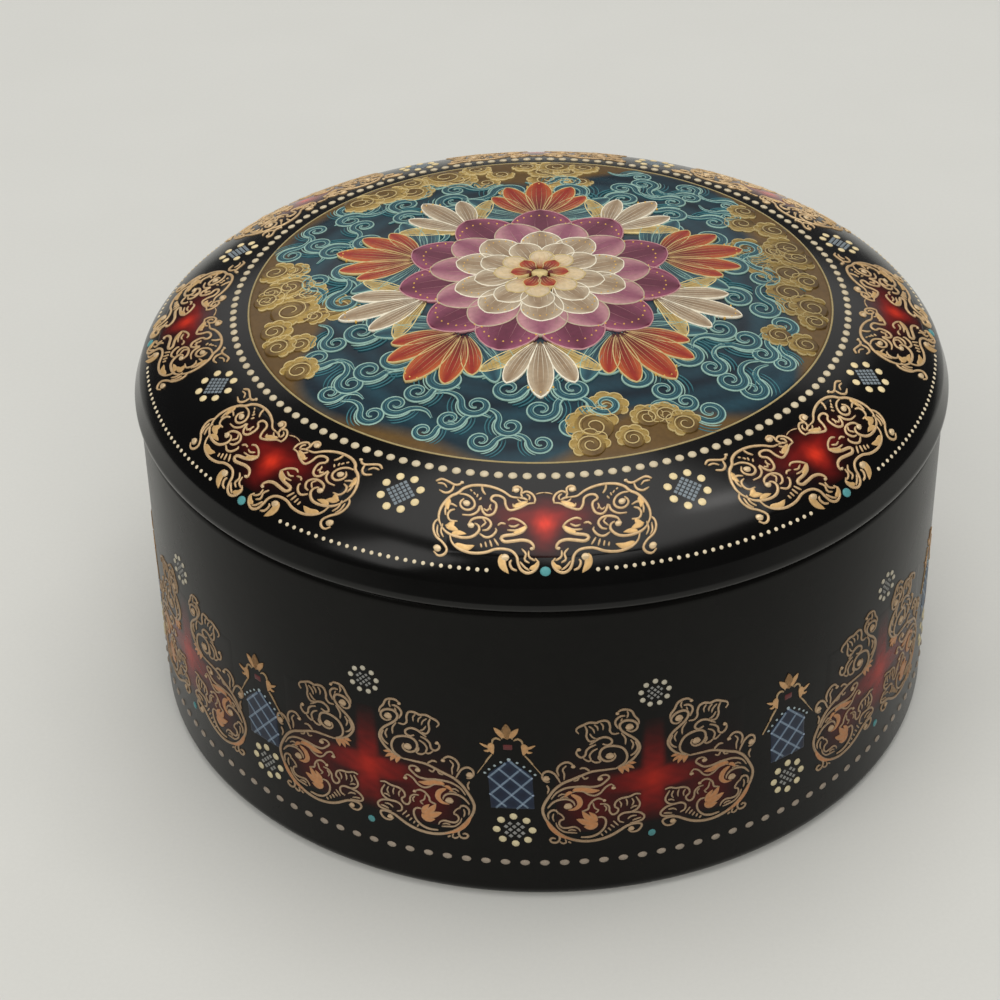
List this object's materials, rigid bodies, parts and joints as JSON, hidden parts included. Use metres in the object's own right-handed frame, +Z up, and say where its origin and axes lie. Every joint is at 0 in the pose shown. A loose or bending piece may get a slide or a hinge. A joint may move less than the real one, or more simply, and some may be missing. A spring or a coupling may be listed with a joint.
{
  "type": "music box",
  "caption": "Round glazed porcelain music box with a lift-off domed lid, trinket tray, sprung stop pin and a wind-up comb and cylinder movement under the tray.",
  "frame": {"origin": "middle of the foot ring's underside, on the table, on the winding axis", "axes": "+Z up along the drum's axis; the key's wings lie along X; the comb is at +Y"},
  "size_m": [0.101, 0.101, 0.0562],
  "materials": {
    "lid_glaze": "black glazed porcelain, glossy, with raised gold and enamel ornament",
    "body_glaze": "black glazed porcelain, satin, with raised gold and enamel ornament",
    "tray_plastic": "moulded black plastic",
    "brass": "turned and cut brass",
    "steel": "bright zinc-plated steel",
    "spring_steel": "blued spring steel",
    "cast_zinc": "die-cast zinc",
    "nylon": "moulded nylon",
    "fibre": "vulcanised fibre"
  },
  "bodies": {
    "box": {"box_body": "body_glaze", "inner_tray": "tray_plastic", "floor_screw_comb": "steel", "floor_screw_spring": "steel", "floor_screw_side": "steel", "floor_washer_comb": "fibre", "floor_washer_spring": "fibre", "floor_washer_side": "fibre", "bedplate": "cast_zinc", "spring_cup": "steel", "mainspring": "spring_steel", "cylinder_bearing_left": "steel", "cylinder_bearing_right": "steel", "bearing_screw_left": "steel", "bearing_screw_right": "steel", "comb": "steel", "comb_screw_left": "steel", "comb_screw_right": "steel", "governor_frame": "steel", "governor_screw_inner": "steel", "governor_screw_outer": "steel", "stop_pin_spring": "spring_steel"},
    "lid": {"lid": "lid_glaze"},
    "spring_wheel": {"spring_gear": "brass", "click": "steel", "click_screw": "steel", "click_spring": "spring_steel"},
    "key": {"winding_key": "brass", "spring_arbor": "steel", "ratchet_wheel": "steel", "arbor_clip": "spring_steel"},
    "cylinder": {"cylinder_tube": "brass", "cylinder_cap_left": "brass", "cylinder_cap_right": "brass", "cylinder_arbor": "steel", "cylinder_pinion": "brass", "cylinder_gear": "brass"},
    "governor": {"governor_pinion": "steel", "governor_wheel": "nylon"},
    "fly": {"fly_worm": "steel", "fly_fan": "nylon"},
    "stop": {"stop_pin": "brass", "stop_finger": "spring_steel"}
  },
  "joints": [
    {"name": "lid_lift", "type": "slide", "parent": "box", "child": "lid", "axis": [0, 0, 1], "range_m": [0, 0.06]},
    {"name": "spring_wheel_turn", "type": "hinge", "parent": "box", "child": "spring_wheel", "pos_m": [0, 0, 0.0233], "axis": [0, 0, 1], "continuous": true},
    {"name": "key_wind", "type": "hinge", "parent": "spring_wheel", "child": "key", "pos_m": [0, 0, 0.0233], "axis": [0, 0, 1], "continuous": true},
    {"name": "cylinder_turn", "type": "hinge", "parent": "box", "child": "cylinder", "pos_m": [0.0235, 0, 0.02706], "axis": [1, 0, 0], "continuous": true},
    {"name": "governor_turn", "type": "hinge", "parent": "box", "child": "governor", "pos_m": [0.03575, -0.00855, 0.02706], "axis": [1, 0, 0], "continuous": true},
    {"name": "fly_turn", "type": "hinge", "parent": "box", "child": "fly", "pos_m": [0.03575, -0.0131, 0.02], "axis": [0, 0, 1], "continuous": true},
    {"name": "stop_travel", "type": "slide", "parent": "box", "child": "stop", "axis": [0, 0, 1], "range_m": [0, 0.004], "stiffness_N_per_m": 25, "springref_m": 0.005, "deforming": ["stop_pin_spring"]}
  ],
  "couplings": [
    {"joint": "spring_wheel_turn", "follows": "cylinder_turn", "ratio": 0.27778},
    {"joint": "governor_turn", "follows": "cylinder_turn", "ratio": -4},
    {"joint": "fly_turn", "follows": "cylinder_turn", "ratio": -64},
    {"joint": "stop_travel", "follows": "lid_lift", "ratio": 0.066666}
  ]
}
